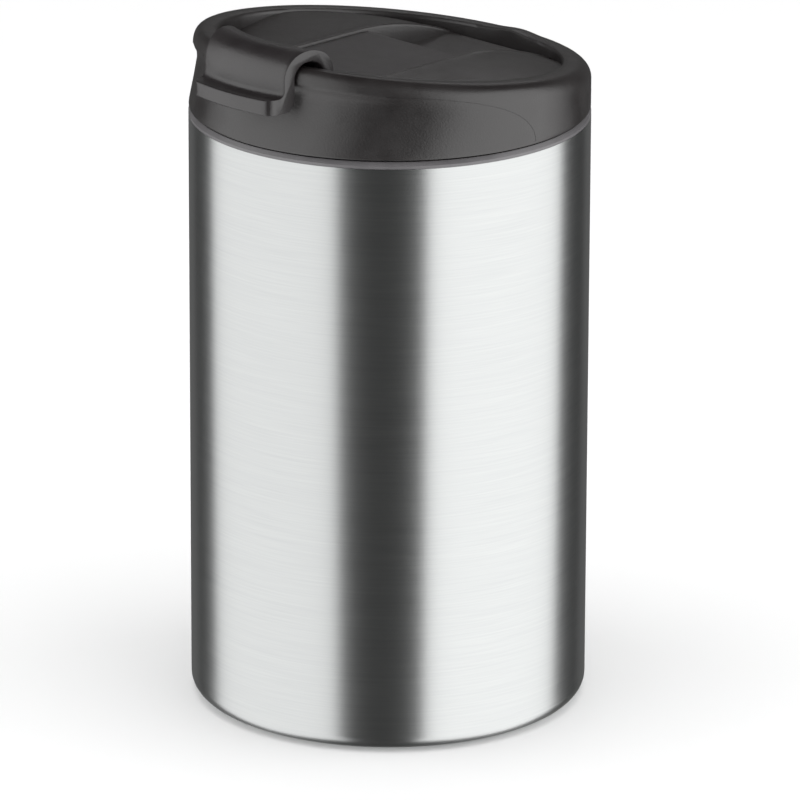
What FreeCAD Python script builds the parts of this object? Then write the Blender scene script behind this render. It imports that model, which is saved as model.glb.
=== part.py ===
# Insulated travel mug: a double-walled steel body under a plastic collar, a lid that
# screws into the collar, and a drinking flap that hooks over the lid's rim.
# Millimetres, +Z up, origin at the middle of the foot's underside.  The hooked
# (drinking) side faces -Y and the flap's hinge pin lies along X.

import FreeCAD
import Part
import Sketcher
import math
import os

# Driving dimensions: name, value in millimetres (angles in degrees, starts a count), meaning.
SIZES = (
    # steel body
    ("shell_radius", 40.0, "outside radius of the steel shell"),
    ("shell_wall", 0.7, "thickness of the steel shell"),
    ("shell_top", 121.2, "height of the shell's cut upper edge"),
    ("shell_corner", 3.0, "outside rounding where the shell turns in at the bottom"),
    ("foot_proud", 0.3, "how far the foot stands below the shell"),
    ("foot_inset", 10.0, "shell's outside in to the foot's edge"),
    ("foot_gap", 0.2, "gap round the foot"),
    ("base_thickness", 0.8, "thickness of the steel base plate"),
    ("base_overlap", 5.0, "how far the base plate reaches over the turned-in shell"),
    ("air_gap", 3.2, "insulating space between shell and inner cup"),
    ("cup_wall", 0.6, "thickness of the inner cup"),
    ("cup_bottom", 8.0, "height of the inner cup's underside"),
    ("cup_corner", 9.0, "outside rounding at the inner cup's bottom"),
    # collar between shell, cup and lid
    ("band_height", 0.55, "upright part of the collar's visible band"),
    ("band_slope", 0.75, "height of the band's chamfer"),
    ("band_inset", 0.6, "how far the chamfer comes in"),
    ("collar_wall", 3.85, "thickness of the collar inside the shell"),
    ("shoulder_play", 1.4, "plug's end down to the collar's shoulder over the cup"),
    ("pocket_depth", 7.5, "depth of the collar's pocket for the cup's flange"),
    ("cup_flange", 1.3, "width of the inner cup's flange"),
    ("seat_gap", 0.05, "gap between pieces of one body that are bonded or pressed"),
    ("cup_seal_height", 0.9, "height of the seal over the cup's flange"),
    ("shell_seal_drop", 5.0, "collar's shoulder on the shell down to the seal groove"),
    ("shell_seal_size", 1.8, "height of the seal between collar and shell"),
    ("shell_seal_depth", 1.2, "depth of that seal's groove"),
    # lid
    ("lid_gap", 0.3, "gap between collar and lid skirt"),
    ("skirt_wall", 2.0, "thickness of the lid's skirt"),
    ("deck_height", 3.7, "skirt's lower edge up to the deck's underside"),
    ("deck_floor", 2.25, "thickness of the channel's floor"),
    ("wing_proud", 0.4, "flap's top up to the flat top of the wings"),
    ("wing_run", 13.9, "rim's inner wall in to where the wings turn down"),
    ("wing_bend_radius", 66.0, "radius of that bend"),
    ("wing_slope", 26.6, "slope of the wings towards the low rim"),
    ("rim_rise", 12.3, "skirt's lower edge up to the rim plane on the axis"),
    ("rim_tilt", 7.22, "tilt of the rim plane, high on the drinking side"),
    ("rim_width", 6.0, "width of the rim"),
    ("rim_round", 4.0, "rounding of the rim's outer edge"),
    ("rim_ease", 1.6, "size of the eased inner edge of the rim under the hook"),
    ("lip_inset", 1.45, "skirt's outside in to the lip on the drinking side"),
    ("lip_shift", 1.4, "shift of the lip's circle away from the drinking side"),
    ("neck_inset", 2.8, "skirt's outside in to the hollow under the lip"),
    ("neck_shift", 4.05, "shift of the hollow's circle away from the drinking side"),
    ("neck_rise", 9.0, "skirt's lower edge up to the hollow"),
    ("underlip_rise", 13.0, "skirt's lower edge up to the lip's underside"),
    ("channel_end_gap", 0.4, "channel's square corner in from the rim's inner wall"),
    ("hollow_inset", 2.1, "wall between the channel and the hollows under the wings"),
    ("hollow_clear", 6.5, "rim's inner wall in to a hollow's outer side"),
    ("hollow_front", 14.0, "reach of a hollow towards the drinking side"),
    ("hollow_back", 3.0, "reach of a hollow towards the back"),
    ("hollow_roof", 2.0, "thickness of the wing over a hollow"),
    # screwed plug
    ("thread_play", 0.3, "gap between a ridge's crest and the facing wall"),
    ("plug_wall", 2.8, "thickness of the plug's wall"),
    ("plug_depth", 12.4, "skirt's lower edge down to the plug's end"),
    ("plug_floor", 2.1, "thickness of the plug's floor"),
    ("flange_gap", 0.35, "skirt's lower edge up to the plug's flange"),
    ("thread_starts", 3, "number of thread starts"),
    ("thread_lead", 12.0, "lift of the lid in one turn"),
    ("thread_depth", 0.9, "height of a thread ridge over its wall"),
    ("thread_root", 1.7, "width of a thread ridge at its wall"),
    ("thread_crest", 0.9, "width of a thread ridge at its crest"),
    ("thread_top_gap", 0.35, "collar's highest ridge up to the gasket groove"),
    ("thread_end_gap", 1.0, "plug's end up to the lowest ridge"),
    ("gasket_drop", 0.6, "skirt's lower edge down to the gasket groove"),
    ("gasket_height", 2.6, "height of the gasket groove"),
    ("gasket_depth", 1.2, "depth of the gasket groove"),
    ("gasket_play", 0.1, "gap round the gasket on every side"),
    ("cover_seal_inset", 4.6, "skirt's outside in to the seal between plug and cover"),
    ("cover_seal_width", 1.4, "width of that seal"),
    ("cover_seal_depth", 1.2, "depth of that seal's groove"),
    # drinking spout and vent, which stand up from the plug through the deck
    ("spout_inset", 8.8, "rim's inner wall in to the spout's middle"),
    ("spout_length", 13.0, "length of the spout's opening"),
    ("spout_width", 7.0, "width of the spout's opening"),
    ("spout_wall", 1.2, "thickness of the spout's wall"),
    ("spout_proud", 0.8, "height of spout and vent over the channel floor"),
    ("spout_gap", 0.15, "gap between spout and deck"),
    ("vent_back", 7.0, "distance from the axis to the vent"),
    ("vent_bore", 1.3, "radius of the vent"),
    ("vent_wall", 1.2, "thickness of the vent's wall"),
    # flap
    ("hinge_back", 5.0, "distance behind the axis to the hinge pin"),
    ("barrel_proud", 0.1, "height of the hinge barrel over the flap's top"),
    ("pin_radius", 0.9, "radius of the hinge pin"),
    ("pin_play", 0.05, "running clearance of the pin in the flap"),
    ("pin_grip", 1.9, "length of pin held in each wing"),
    ("barrel_radius", 1.7, "outside radius of the flap's hinge barrel"),
    ("flap_half", 12.7, "half the flap's width"),
    ("flap_side_gap", 0.3, "gap between the flap and each wing"),
    ("flap_rise", 2.75, "channel floor up to the flap's underside"),
    ("flap_thickness", 2.4, "thickness of the flap's plate"),
    ("flap_root", 3.5, "rounding between the plate and the hook"),
    # hook over the rim, a band turned about the mug's axis
    ("hook_thickness", 2.3, "thickness of the hook"),
    ("hook_play", 0.9, "gap between the hook and the rim's inner wall"),
    ("leg_inset", 0.7, "skirt's outside in to the hook's leg"),
    ("arch_play", 0.53, "rim's highest point up to the underside of the arch"),
    ("hook_fillet", 1.3, "rounding between the hook's leg and its thumb tab"),
    ("tab_rise", 2.45, "channel floor up to the thumb tab's underside"),
    ("tab_thickness", 3.15, "thickness of the thumb tab"),
    ("tab_reach", 3.4, "how far the thumb tab stands out from the leg"),
    ("tab_bend", 2.4, "outside rounding from leg to thumb tab"),
    ("tab_round", 1.3, "rounding of the thumb tab's edge"),
    ("tab_taper", 2.4, "how much narrower each side is at the thumb tab"),
    ("tab_corner", 2.8, "size of the thumb tab's cut corners"),
    # silicone seals under the flap
    ("seal_overhang", 1.0, "how far a seal's flange reaches over its seat"),
    ("seal_lift", 0.1, "gap between a seal's flange and its seat"),
    ("seal_plug", 1.1, "length of the plug that enters the opening"),
    ("seal_play", 0.35, "gap between a seal's plug and its opening"),
)


class Size:
    """A value together with the spreadsheet expression that gives it."""

    def __init__(self, value, text):
        self.value = value
        self.text = text

    def joined(self, sign, other, result):
        return Size(result, "(%s %s %s)" % (self.text, sign, as_size(other).text))

    def __add__(self, other):
        return self.joined("+", other, self.value + as_size(other).value)

    def __sub__(self, other):
        return self.joined("-", other, self.value - as_size(other).value)

    def __mul__(self, other):
        return self.joined("*", other, self.value * as_size(other).value)

    def __truediv__(self, other):
        return self.joined("/", other, self.value / as_size(other).value)

    def __neg__(self):
        return Size(-self.value, "(0 - %s)" % self.text)


def as_size(number):
    return number if isinstance(number, Size) else Size(float(number), repr(float(number)))


def tangent(angle):
    return Size(math.tan(math.radians(angle.value)), "tan(%s * 1 deg)" % angle.text)


def fitted(s):
    """Sizes that follow from neighbouring pieces and a named clearance."""
    outside = s["shell_radius"]
    s["lid_radius"] = outside
    s["foot_radius"] = outside - s["foot_inset"]
    s["cup_radius"] = outside - s["shell_wall"] - s["air_gap"]
    s["pocket_radius"] = s["cup_radius"] + s["cup_flange"]
    s["collar_bore"] = outside - s["shell_wall"] - s["seat_gap"] - s["collar_wall"]
    s["plug_radius"] = s["collar_bore"] - s["thread_depth"] - s["thread_play"]
    s["rim_inner"] = outside - s["rim_width"]
    s["lip_radius"] = outside - s["lip_inset"]
    s["neck_radius"] = outside - s["neck_inset"]
    s["cover_seal_radius"] = outside - s["cover_seal_inset"]
    s["hollow_reach"] = s["rim_inner"] - s["hollow_clear"]
    s["wing_bend"] = s["rim_inner"] - s["wing_run"]
    s["wing_rise"] = s["flap_rise"] + s["flap_thickness"] + s["wing_proud"]
    s["spout_back"] = s["rim_inner"] - s["spout_inset"]
    s["hook_inside"] = s["rim_inner"] - s["hook_play"]
    s["leg_inside"] = outside - s["leg_inset"]
    s["hook_span"] = s["leg_inside"] - s["hook_inside"]
    s["leg_outside"] = s["leg_inside"] + s["hook_thickness"]
    s["tab_radius"] = s["leg_outside"] + s["tab_reach"]
    s["tab_half"] = s["flap_half"] - s["tab_taper"]
    return s


def other_side(longest, side):
    """Third side of a right-angled triangle."""
    text = "sqrt(%s * %s - %s * %s)" % (longest.text, longest.text, side.text, side.text)
    return Size(math.sqrt(longest.value ** 2 - side.value ** 2), text)


def bind(target, name, size):
    """Bind a property to the sheet."""
    target.setExpression(name, as_size(size).text)


def make_sheet(doc):
    """Fill the spreadsheet and return each of its values by name."""
    sheet = doc.addObject("Spreadsheet::Sheet", "dims")
    for row, (name, value, meaning) in enumerate(SIZES, start=1):
        sheet.set("A%d" % row, name)
        sheet.set("B%d" % row, str(value))
        sheet.set("C%d" % row, meaning)
        sheet.setAlias("B%d" % row, name)
    doc.recompute()
    return {name: Size(float(value), "dims.%s" % name) for name, value, meaning in SIZES}


# ---- sketches ----------------------------------------------------------------------

def make_body(doc, label):
    body = doc.addObject("PartDesign::Body", label)
    body.Label = label
    body.Placement = FreeCAD.Placement()
    return body


def sketch_on(body, name, role, height=None):
    """A sketch on one of the body's own origin planes, lifted by height."""
    plane = next(item for item in body.Origin.OriginFeatures if item.Role == role)
    sketch = body.newObject("Sketcher::SketchObject", name)
    sketch.AttachmentSupport = [(plane, "")]
    sketch.MapMode = "FlatFace"
    if height is not None:
        bind(sketch, ".AttachmentOffset.Base.z", height)
    return sketch


def hold(sketch, kind, first, second, size):
    """Add a distance or radius constraint and bind it to the sheet."""
    index = sketch.addConstraint(_constraint(kind, first, second, size.value))
    bind(sketch, "Constraints[%d]" % index, size)


def _constraint(kind, first, second, value):
    if second is None:
        return Sketcher.Constraint(kind, first, value)
    return Sketcher.Constraint(kind, *first, *second, value)


def place(sketch, point, across, up):
    """Fix a sketch point (geometry, end) by its distances from the sketch's origin."""
    origin = (-1, 1)
    for kind, axis, size in (("DistanceX", -2, as_size(across)), ("DistanceY", -1, as_size(up))):
        if abs(size.value) < 1e-9:
            sketch.addConstraint(Sketcher.Constraint("PointOnObject", *point, axis))
        elif size.value > 0:
            hold(sketch, kind, origin, point, size)
        else:
            hold(sketch, kind, point, origin, -size)


def outline(sketch, corners):
    """Closed outline of straight sides; a third value rounds that corner."""
    spots = [FreeCAD.Vector(as_size(c[0]).value, as_size(c[1]).value, 0) for c in corners]
    count = len(corners)
    leaving = list(spots)
    reaching = list(spots)
    arcs = {}
    for i, corner in enumerate(corners):
        if len(corner) < 3:
            continue
        back = (spots[i - 1] - spots[i]).normalize()
        ahead = (spots[(i + 1) % count] - spots[i]).normalize()
        half = back.getAngle(ahead) / 2
        radius = as_size(corner[2])
        step = radius.value / math.tan(half)
        centre = spots[i] + (back + ahead).normalize() * (radius.value / math.sin(half))
        reaching[i] = spots[i] + back * step
        leaving[i] = spots[i] + ahead * step
        middle = centre + (spots[i] - centre).normalize() * radius.value
        arcs[i] = (Part.Arc(reaching[i], middle, leaving[i]), radius)
    sides = []
    for i in range(count):
        line = Part.LineSegment(leaving[i], reaching[(i + 1) % count])
        sides.append(sketch.addGeometry(line, False))
    for i, corner in enumerate(corners):
        before = sides[i - 1]
        after = sides[i]
        if i not in arcs:
            sketch.addConstraint(Sketcher.Constraint("Coincident", before, 2, after, 1))
            place(sketch, (after, 1), corner[0], corner[1])
            continue
        curve, radius = arcs[i]
        arc = sketch.addGeometry(curve, False)
        starts_here = sketch.getPoint(arc, 1).distanceToPoint(reaching[i]) < 1e-6
        first, last = (1, 2) if starts_here else (2, 1)
        sketch.addConstraint(Sketcher.Constraint("Tangent", before, 2, arc, first))
        sketch.addConstraint(Sketcher.Constraint("Tangent", arc, last, after, 1))
        hold(sketch, "Radius", arc, None, radius)
        tip = sketch.addGeometry(Part.Point(spots[i]), True)
        sketch.addConstraint(Sketcher.Constraint("PointOnObject", tip, 1, before))
        sketch.addConstraint(Sketcher.Constraint("PointOnObject", tip, 1, after))
        place(sketch, (tip, 1), corner[0], corner[1])


def rectangle(sketch, left, low, right, high):
    outline(sketch, [(left, low), (right, low), (right, high), (left, high)])


def oval(sketch, middle, length, width):
    """A slot lying along X with its middle on the Y axis."""
    side = length / 2
    end = width / 2
    turn = width * 0.49
    low = middle - end
    high = middle + end
    outline(sketch, [(-side, low, turn), (side, low, turn), (side, high, turn), (-side, high, turn)])


def circle(sketch, across, up, radius):
    spot = FreeCAD.Vector(as_size(across).value, as_size(up).value, 0)
    ring = sketch.addGeometry(Part.Circle(spot, FreeCAD.Vector(0, 0, 1), radius.value), False)
    hold(sketch, "Radius", ring, None, radius)
    place(sketch, (ring, 3), across, up)


# ---- features ----------------------------------------------------------------------

def turned(body, name, corners, cut=False, axis=None, angle=None):
    """Turn an outline about the mug's axis, or about an upright line at y = axis."""
    plane = "YZ_Plane" if axis is not None or angle is not None else "XZ_Plane"
    sketch = sketch_on(body, name + "_outline", plane)
    outline(sketch, corners)
    reference = "V_Axis"
    if axis is not None:
        line = Part.LineSegment(FreeCAD.Vector(axis.value, 0, 0), FreeCAD.Vector(axis.value, 10, 0))
        index = sketch.addGeometry(line, True)
        place(sketch, (index, 1), axis, 0)
        place(sketch, (index, 2), axis, 10)
        reference = "Axis0"
    feature = body.newObject("PartDesign::Groove" if cut else "PartDesign::Revolution", name)
    feature.Profile = sketch
    feature.ReferenceAxis = (sketch, [reference])
    feature.Angle = 360
    if angle is not None:
        bind(feature, "Angle", angle)
        feature.Midplane = True
    return feature


def padded(body, name, sketch, length, both=False):
    feature = body.newObject("PartDesign::Pad", name)
    feature.Profile = sketch
    feature.SideType = "Symmetric" if both else "One side"
    bind(feature, "Length", length)
    return feature


def pocketed(body, name, sketch, length, both=False, upward=False):
    """Cut a sketch's outline; upward cuts along the sketch's normal, else against it."""
    feature = body.newObject("PartDesign::Pocket", name)
    feature.Profile = sketch
    feature.SideType = "Symmetric" if both else "One side"
    feature.Reversed = upward
    bind(feature, "Length", length)
    return feature


def rounded(body, name, belongs, radius):
    """Round the edges of the body's present shape that the test picks."""
    body.Document.recompute()
    base = body.Tip
    edges = ["Edge%d" % (i + 1) for i, edge in enumerate(base.Shape.Edges) if belongs(edge)]
    feature = body.newObject("PartDesign::Fillet", name)
    feature.Base = (base, edges)
    bind(feature, "Radius", radius)
    return feature


def threaded(body, name, s, wall, crest, start, climb):
    """Helical ridges from wall to crest that climb from an end centred at height start."""
    root_half = s["thread_root"] / 2
    crest_half = s["thread_crest"] / 2
    inner = wall - 0.2 if crest.value > wall.value else wall + 0.2
    sketch = sketch_on(body, name + "_outline", "XZ_Plane")
    outline(sketch, [(inner, start - root_half), (crest, start - crest_half),
                     (crest, start + crest_half), (inner, start + root_half)])
    ridge = body.newObject("PartDesign::AdditiveHelix", name)
    ridge.Profile = sketch
    ridge.ReferenceAxis = (sketch, ["V_Axis"])
    ridge.Mode = "pitch-height-angle"
    bind(ridge, "Pitch", s["thread_lead"])
    bind(ridge, "Height", climb)
    body.Document.recompute()
    pattern = body.newObject("PartDesign::PolarPattern", name + "_starts")
    pattern.Originals = [ridge]
    pattern.Axis = (sketch, ["V_Axis"])
    pattern.Angle = 360
    bind(pattern, "Occurrences", s["thread_starts"])
    body.Tip = pattern
    return pattern


# ---- the steel body ----------------------------------------------------------------

def foot_pad(doc, s, at):
    body = make_body(doc, "foot_pad")
    edge = s["foot_proud"]
    turned(body, "disc", [(0, 0), (s["foot_radius"], 0, edge), (s["foot_radius"], at["shelf"]),
                          (0, at["shelf"])])
    return body


def outer_shell(doc, s, at):
    body = make_body(doc, "outer_shell")
    inside = s["shell_radius"] - s["shell_wall"]
    hole = s["foot_radius"] + s["foot_gap"]
    turned(body, "sleeve", [
        (hole, s["foot_proud"]),
        (s["shell_radius"], s["foot_proud"], s["shell_corner"]),
        (s["shell_radius"], s["shell_top"]),
        (inside, s["shell_top"]),
        (inside, at["shelf"], s["shell_corner"] - s["shell_wall"]),
        (hole, at["shelf"])])
    return body


def base_plate(doc, s, at):
    body = make_body(doc, "base_plate")
    edge = s["foot_radius"] + s["foot_gap"] + s["base_overlap"]
    top = at["shelf"] + s["base_thickness"]
    turned(body, "plate", [(0, at["shelf"]), (edge, at["shelf"]), (edge, top), (0, top)])
    return body


def inner_cup(doc, s, at):
    body = make_body(doc, "inner_cup")
    inside = s["cup_radius"] - s["cup_wall"]
    flange = s["pocket_radius"] - s["seat_gap"]
    turned(body, "cup", [
        (0, s["cup_bottom"]),
        (s["cup_radius"], s["cup_bottom"], s["cup_corner"]),
        (s["cup_radius"], at["cup_top"] - s["cup_wall"]),
        (flange, at["cup_top"] - s["cup_wall"]),
        (flange, at["cup_top"]),
        (inside, at["cup_top"]),
        (inside, s["cup_bottom"] + s["cup_wall"], s["cup_corner"] - s["cup_wall"]),
        (0, s["cup_bottom"] + s["cup_wall"])])
    return body


def cup_seal(doc, s, at):
    body = make_body(doc, "cup_seal")
    inner = s["cup_radius"] - s["cup_wall"]
    outer = s["pocket_radius"] - s["seat_gap"]
    turned(body, "ring", [(inner, at["cup_top"]), (outer, at["cup_top"]),
                          (outer, at["shoulder"]), (inner, at["shoulder"])])
    return body


def cup_retainer(doc, s, at):
    """Ring that is welded into the collar's pocket and holds the cup's flange up."""
    body = make_body(doc, "cup_retainer")
    inner = s["cup_radius"] + s["seat_gap"]
    outer = s["pocket_radius"] - s["seat_gap"]
    top = at["cup_top"] - s["cup_wall"]
    turned(body, "ring", [(inner, at["collar_low"]), (outer, at["collar_low"]),
                          (outer, top), (inner, top)])
    return body


def collar(doc, s, at):
    body = make_body(doc, "collar")
    skirt = s["shell_radius"] - s["shell_wall"] - s["seat_gap"]
    groove = skirt - s["shell_seal_depth"]
    seal_top = s["shell_top"] - s["shell_seal_drop"]
    seal_low = seal_top - s["shell_seal_size"]
    turned(body, "ring", [
        (s["collar_bore"], at["shoulder"]),
        (s["collar_bore"], at["collar_top"] - s["band_inset"]),
        (s["collar_bore"] + s["band_inset"], at["collar_top"]),
        (s["shell_radius"] - s["band_inset"], at["collar_top"]),
        (s["shell_radius"], s["shell_top"] + s["band_height"]),
        (s["shell_radius"], s["shell_top"]),
        (skirt, s["shell_top"]),
        (skirt, seal_top),
        (groove, seal_top),
        (groove, seal_low),
        (skirt, seal_low),
        (skirt, at["collar_low"]),
        (s["pocket_radius"], at["collar_low"]),
        (s["pocket_radius"], at["shoulder"])])
    threaded(body, "thread", s, s["collar_bore"], s["collar_bore"] - s["thread_depth"],
             at["thread_start"] + at["thread_offset"], at["thread_climb"])
    return body


def shell_seal(doc, s, at):
    body = make_body(doc, "shell_seal")
    outer = s["shell_radius"] - s["shell_wall"] - s["seat_gap"]
    inner = outer - s["shell_seal_depth"] + s["seat_gap"]
    top = s["shell_top"] - s["shell_seal_drop"]
    low = top - s["shell_seal_size"]
    turned(body, "ring", [(inner, low), (outer, low), (outer, top), (inner, top)])
    return body


# ---- the lid -----------------------------------------------------------------------

def lid_gasket(doc, s, at):
    """Two-lipped silicone ring round the plug that seals against the collar's bore."""
    body = make_body(doc, "lid_gasket")
    play = s["gasket_play"]
    inner = s["plug_radius"] - s["gasket_depth"] + play
    outer = s["collar_bore"] - play
    waist = outer - s["gasket_depth"] / 2
    top = at["gasket_top"] - play
    low = at["gasket_low"] + play
    third = (top - low) / 3
    turned(body, "ring", [
        (inner, low), (outer, low), (outer, low + third), (waist, low + third),
        (waist, top - third), (outer, top - third), (outer, top), (inner, top)])
    return body


def lid_base(doc, s, at):
    """Threaded plug with its floor under the deck; spout and vent stand up from it."""
    body = make_body(doc, "lid_base")
    inside = s["plug_radius"] - s["plug_wall"]
    groove = s["plug_radius"] - s["gasket_depth"]
    edge = s["lid_radius"] - s["skirt_wall"] - s["seat_gap"]
    seal_inner = s["cover_seal_radius"]
    seal_outer = seal_inner + s["cover_seal_width"]
    seal_floor = at["deck_under"] - s["cover_seal_depth"]
    floor_under = at["deck_under"] - s["plug_floor"]
    turned(body, "plug", [
        (0, floor_under),
        (inside, floor_under),
        (inside, at["plug_low"]),
        (s["plug_radius"], at["plug_low"]),
        (s["plug_radius"], at["gasket_low"]),
        (groove, at["gasket_low"]),
        (groove, at["gasket_top"]),
        (s["plug_radius"], at["gasket_top"]),
        (s["plug_radius"], at["lid_low"] + s["flange_gap"]),
        (edge, at["lid_low"] + s["flange_gap"]),
        (edge, at["deck_under"]),
        (seal_outer, at["deck_under"]),
        (seal_outer, seal_floor),
        (seal_inner, seal_floor),
        (seal_inner, at["deck_under"]),
        (0, at["deck_under"])])
    rise = s["deck_floor"] + s["spout_proud"]
    spout = sketch_on(body, "spout_outline", "XY_Plane", at["deck_under"])
    oval(spout, -s["spout_back"], s["spout_length"] + s["spout_wall"] * 2,
         s["spout_width"] + s["spout_wall"] * 2)
    padded(body, "spout", spout, rise)
    vent = sketch_on(body, "vent_outline", "XY_Plane", at["deck_under"])
    circle(vent, 0, -s["vent_back"], s["vent_bore"] + s["vent_wall"])
    padded(body, "vent", vent, rise)
    through = rise + s["plug_floor"]
    opening = sketch_on(body, "spout_hole_outline", "XY_Plane", at["seat_top"])
    oval(opening, -s["spout_back"], s["spout_length"], s["spout_width"])
    pocketed(body, "spout_hole", opening, through)
    breather = sketch_on(body, "vent_hole_outline", "XY_Plane", at["seat_top"])
    circle(breather, 0, -s["vent_back"], s["vent_bore"])
    pocketed(body, "vent_hole", breather, through)
    threaded(body, "thread", s, s["plug_radius"], s["plug_radius"] + s["thread_depth"],
             at["thread_start"], at["thread_climb"])
    return body


def cover_seal(doc, s, at):
    body = make_body(doc, "cover_seal")
    inner = s["cover_seal_radius"] + s["seat_gap"]
    outer = s["cover_seal_radius"] + s["cover_seal_width"] - s["seat_gap"]
    low = at["deck_under"] - s["cover_seal_depth"]
    turned(body, "ring", [(inner, low), (outer, low), (outer, at["deck_under"]),
                          (inner, at["deck_under"])])
    return body


def lid_cover(doc, s, at):
    """Outer lid: skirt, tilted rim with a drinking lip, and a deck with the flap's channel."""
    body = make_body(doc, "lid_cover")
    reach = s["rim_inner"] + 0.3
    turned(body, "deck", [(0, at["deck_under"]), (reach, at["deck_under"]),
                          (reach, at["wing_top"]), (0, at["wing_top"])])
    # the wings run level, then fall in a long arc to the low side of the rim
    wings = sketch_on(body, "wings_outline", "YZ_Plane")
    over = s["rim_inner"] + 5
    fall = (over - s["wing_bend"]) * tangent(s["wing_slope"])
    outline(wings, [
        (s["hinge_back"] / 2, at["wing_top"]),
        (s["wing_bend"], at["wing_top"], s["wing_bend_radius"]),
        (over, at["wing_top"] - fall),
        (over, at["wing_top"] + 5),
        (s["hinge_back"] / 2, at["wing_top"] + 5)])
    pocketed(body, "wings", wings, s["lid_radius"] * 2, both=True)
    high = at["lid_low"] + s["rim_rise"] + s["lid_radius"] * tangent(s["rim_tilt"]) + 2
    turned(body, "rim", [
        (s["lid_radius"] - s["skirt_wall"], at["lid_low"]),
        (s["lid_radius"], at["lid_low"]),
        (s["lid_radius"], high),
        (s["rim_inner"], high),
        (s["rim_inner"], at["deck_under"]),
        (s["lid_radius"] - s["skirt_wall"], at["deck_under"])])
    tilt = sketch_on(body, "tilt_outline", "YZ_Plane")
    beyond = s["lid_radius"] + 2
    middle = at["lid_low"] + s["rim_rise"]
    drop = beyond * tangent(s["rim_tilt"])
    outline(tilt, [(-beyond, middle + drop), (beyond, middle - drop), (beyond, high + 2),
                   (-beyond, high + 2)])
    pocketed(body, "tilt", tilt, beyond * 2, both=True)
    outside = s["lid_radius"].value - 0.01
    low = at["deck_under"].value
    rounded(body, "rim_rounding", lambda edge: edge.BoundBox.ZMin > low
            and edge.BoundBox.XMax > outside and edge.BoundBox.XMin < -outside, s["rim_round"])
    # drinking lip and the hollow under it, each cut by a circle set off from the axis
    front = -(s["lid_radius"] + 4)
    under = at["lid_low"] + s["underlip_rise"]
    neck = at["lid_low"] + s["neck_rise"]
    turned(body, "lip", [(-s["lip_radius"], under), (front, under), (front, high + 2),
                         (-s["lip_radius"], high + 2)], cut=True, axis=s["lip_shift"])
    turned(body, "neck", [(-s["lip_radius"], under), (-s["neck_radius"], neck),
                          (-s["lid_radius"], at["lid_low"] + 0.5), (front, at["lid_low"] + 0.5),
                          (front, under)], cut=True, axis=s["neck_shift"])
    # the rim's inner edge is eased where the hook arches over it
    inner = s["rim_inner"]
    edge = middle + inner * tangent(s["rim_tilt"])
    turned(body, "rim_ease", [
        (-inner, edge - s["rim_ease"]), (-(inner + s["rim_ease"]), edge + 0.3),
        (-(inner + s["rim_ease"]), high), (-(inner - 1), high),
        (-(inner - 1), edge - s["rim_ease"])], cut=True, angle=at["hook_angle"])
    # channel for the flap, closed at both ends by the rim's inner wall
    half = s["flap_half"] + s["flap_side_gap"]
    channel = sketch_on(body, "channel_outline", "XY_Plane", at["floor"])
    end = other_side(s["rim_inner"], half) - s["channel_end_gap"]
    rectangle(channel, -half, -end, half, end)
    pocketed(body, "channel", channel, s["rim_rise"], upward=True)
    turned(body, "channel_ends", [
        (-(end - 1), at["floor"]), (-s["rim_inner"], at["floor"]), (-s["rim_inner"], high),
        (-(end - 1), high)], cut=True, angle=at["channel_angle"])
    turned(body, "channel_back", [
        (end - 1, at["floor"]), (s["rim_inner"], at["floor"]), (s["rim_inner"], high),
        (end - 1, high)], cut=True, angle=at["channel_angle"])
    # hollows under the wings keep the moulding's walls even
    hollows = sketch_on(body, "hollows_outline", "XY_Plane", at["deck_under"])
    near = half + s["hollow_inset"]
    far = s["hollow_reach"]
    rectangle(hollows, near, -s["hollow_front"], far, s["hollow_back"])
    rectangle(hollows, -far, -s["hollow_front"], -near, s["hollow_back"])
    pocketed(body, "hollows", hollows, s["deck_floor"] + s["wing_rise"] - s["hollow_roof"],
             upward=True)
    gap = s["spout_gap"]
    spout = sketch_on(body, "spout_opening_outline", "XY_Plane", at["floor"])
    oval(spout, -s["spout_back"], s["spout_length"] + s["spout_wall"] * 2 + gap * 2,
         s["spout_width"] + s["spout_wall"] * 2 + gap * 2)
    pocketed(body, "spout_opening", spout, s["deck_floor"])
    vent = sketch_on(body, "vent_opening_outline", "XY_Plane", at["floor"])
    circle(vent, 0, -s["vent_back"], s["vent_bore"] + s["vent_wall"] + gap)
    pocketed(body, "vent_opening", vent, s["deck_floor"])
    bore = sketch_on(body, "pin_bore_outline", "YZ_Plane")
    circle(bore, s["hinge_back"], at["hinge"], s["pin_radius"])
    pocketed(body, "pin_bore", bore, (half + s["pin_grip"]) * 2, both=True)
    return body


def hinge_pin(doc, s, at):
    body = make_body(doc, "hinge_pin")
    sketch = sketch_on(body, "section", "YZ_Plane")
    circle(sketch, s["hinge_back"], at["hinge"], s["pin_radius"])
    length = (s["flap_half"] + s["flap_side_gap"] + s["pin_grip"] - 0.2) * 2
    padded(body, "pin", sketch, length, both=True)
    return body


# ---- the flap ----------------------------------------------------------------------

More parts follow.
